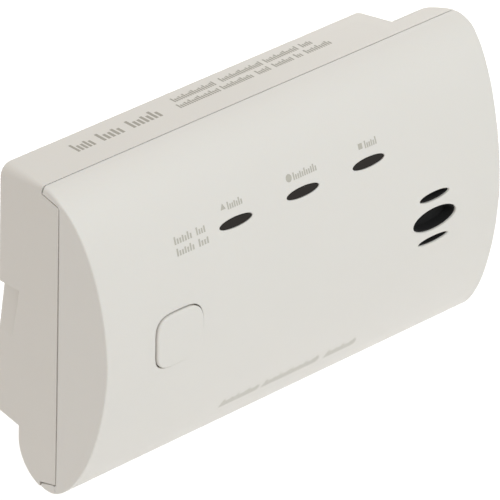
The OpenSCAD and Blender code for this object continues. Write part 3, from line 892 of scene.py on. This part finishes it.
def cell(name, z_axis, plus_x, flat_x, sleeve, band, tin):
    """One cell: sleeve, coloured band at the plus end, and tinned ends. plus_x is the nub's tip."""
    way = 1 if flat_x > plus_x else -1

    def from_tip(run):
        return plus_x + run * way

    def from_shoulder(run):
        return plus_x + 1.6 * way + run * way

    def from_flat(run):
        return flat_x - run * way

    def turn(part, profile, material, slot, replaces=()):
        turned(profile[::way], z_axis).make(f"{name}_{part}", material, "housing", slot, replaces)

    turn("sleeve", [(from_shoulder(0), 4.2), (from_shoulder(0), 6.85), (from_shoulder(0.25), 7.12),
                    (from_shoulder(0.6), CELL_R), (from_flat(0.6), CELL_R), (from_flat(0.25), 7.12),
                    (from_flat(0.12), 6.85), (from_flat(0.12), 5.4)], sleeve, "battery_sleeve", [name])
    turn("band", [(from_shoulder(1.2), CELL_R - 0.02), (from_shoulder(1.22), CELL_R + MARK_RISE),
                  (from_shoulder(12.5), CELL_R + MARK_RISE), (from_shoulder(12.52), CELL_R - 0.02)],
         band, "battery_sleeve")
    turn("plus", [(plus_x, 0.05), (plus_x, 2.3), (from_tip(0.15), 2.62), (from_tip(0.4), 2.75),
                  (from_shoulder(-0.1), 2.75), (from_shoulder(-0.05), 4.6)], tin, "nickel_plate")
    turn("minus", [(from_flat(0.1), 6.6), (from_flat(0.02), 5.9), (flat_x, 5.6), (flat_x, 0.05)],
         tin, "nickel_plate")
    middle = from_shoulder(7)
    plus = [box_ring(middle - 1.5, middle + 1.5, -0.3, 0.3)]
    plus += [box_ring(middle - 0.3, middle + 0.3, up, up + 0.39) for up in (-1.5, -1.1, -0.7, 0.3, 0.7, 1.1)]
    stamp(plus, on_cell(z_axis), name + "_plus_sign", sleeve, "battery_sleeve", rise=2 * MARK_RISE)
    middle = from_flat(6)
    lines = [box_ring(middle - 1.5, middle + 1.5, -0.3, 0.3)]
    left, right = sorted((from_flat(12), from_flat(28)))
    lines += [box_ring(left, right, up - 0.35, up + 0.35) for up in (-2.6, 0.2, 2.6)]
    stamp(lines, on_cell(z_axis), name + "_minus_sign", band, "battery_sleeve")


# ---- the rest of the CAD parts keep their shape and get a finish ----

def soften(node, width_mm):
    """Rounds a CAD part's sharp edges a little with modifiers."""
    weld = node.modifiers.new("weld", "WELD")
    weld.merge_threshold = 0.002 * MM
    bevel = node.modifiers.new("bevel", "BEVEL")
    bevel.width = width_mm * MM
    bevel.segments = 3
    bevel.limit_method = "ANGLE"
    bevel.angle_limit = math.radians(32)
    bevel.harden_normals = True
    bevel.use_clamp_overlap = True
    bevel.miter_outer = "MITER_ARC"


def dress(names, material, soft=0.0):
    for name in names:
        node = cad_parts[name]
        node.data.materials.clear()
        node.data.materials.append(material)
        if soft:
            soften(node, soft)


make_camera()
make_lights()
make_floor()
cover_plastic = moulded_plastic("cover_plastic", (0.80, 0.775, 0.735))
housing_plastic = moulded_plastic("housing_plastic", (0.785, 0.755, 0.71), 0.46)
button_plastic = moulded_plastic("button_plastic", (0.80, 0.775, 0.735), 0.4)
black_plastic = dull("black_plastic", (0.02, 0.02, 0.02), 0.55)
front_cover(cover_plastic)
test_button(button_plastic)
windows(smoked_plastic("smoked_window"))
front_marks(printed_ink("front_ink", (0.52, 0.50, 0.44)))
top_marks(printed_ink("top_ink", (0.41, 0.385, 0.335)))
label_marks(printed_ink("label_ink", (0.10, 0.10, 0.105)))
door_arrow(housing_plastic)
sleeve = gloss_film("battery_sleeve", (0.035, 0.037, 0.042))
band = gloss_film("battery_band", (0.62, 0.33, 0.10))
nickel = metal("nickel_plate", (0.72, 0.71, 0.68), 0.25)
for name, z_axis, plus_x, flat_x in CELLS:
    cell(name, z_axis, plus_x, flat_x, sleeve, band, nickel)
dress(["rear_housing", "battery_door"], housing_plastic, soft=0.2)
dress(["dust_mesh"], dull("mesh_black", (0.008, 0.008, 0.008), 0.9, 0.25, 0.05))
dress(["horn_cup", "horn_back", "switch_body", "switch_plunger"], black_plastic)
dress(["microcontroller", "horn_driver"], dull("chip_black", (0.018, 0.018, 0.02), 0.45, 0.2))
dress(["circuit_board"], dull("board_green", (0.02, 0.13, 0.06), 0.3, 1.5, 0.01))
dress(["led_left"], glowing_plastic("led_red", (0.6, 0.05, 0.04)))
dress(["led_middle"], glowing_plastic("led_green", (0.08, 0.5, 0.15)))
dress(["led_right"], glowing_plastic("led_amber", (0.8, 0.4, 0.05)))
dress(["boost_inductor"], dull("ferrite", (0.05, 0.045, 0.04), 0.6, 0.3))
dress(["electrolytic_capacitors"], glowing_plastic("capacitor_sleeve", (0.03, 0.05, 0.15)))
dress(["chip_parts"], dull("chip_tan", (0.3, 0.2, 0.12), 0.5, 0.2))
dress(["co_sensor"], metal("sensor_can", (0.6, 0.61, 0.63), 0.35, (1, 0.1, 1)))
dress(["sensor_filter_cap"], dull("cap_white", (0.8, 0.8, 0.77), 0.5, 0.3))
dress(["horn_diaphragm"], metal("brass_disc", (0.75, 0.56, 0.22), 0.3))
dress(["piezo_ceramic"], dull("ceramic_white", (0.8, 0.77, 0.68), 0.4, 0.2))
dress(["horn_gasket"], dull("foam_grey", (0.08, 0.08, 0.08), 0.95, 0.4, 0.08))
dress(["horn_contacts", "contact_springs", "contact_plates"], nickel)
dress(["case_screws", "board_screws"], metal("screw_steel", (0.55, 0.55, 0.57), 0.3))
dress(["rear_label"], dull("label_paper", (0.85, 0.85, 0.83), 0.5, 0.5, 0.003, 0.03))
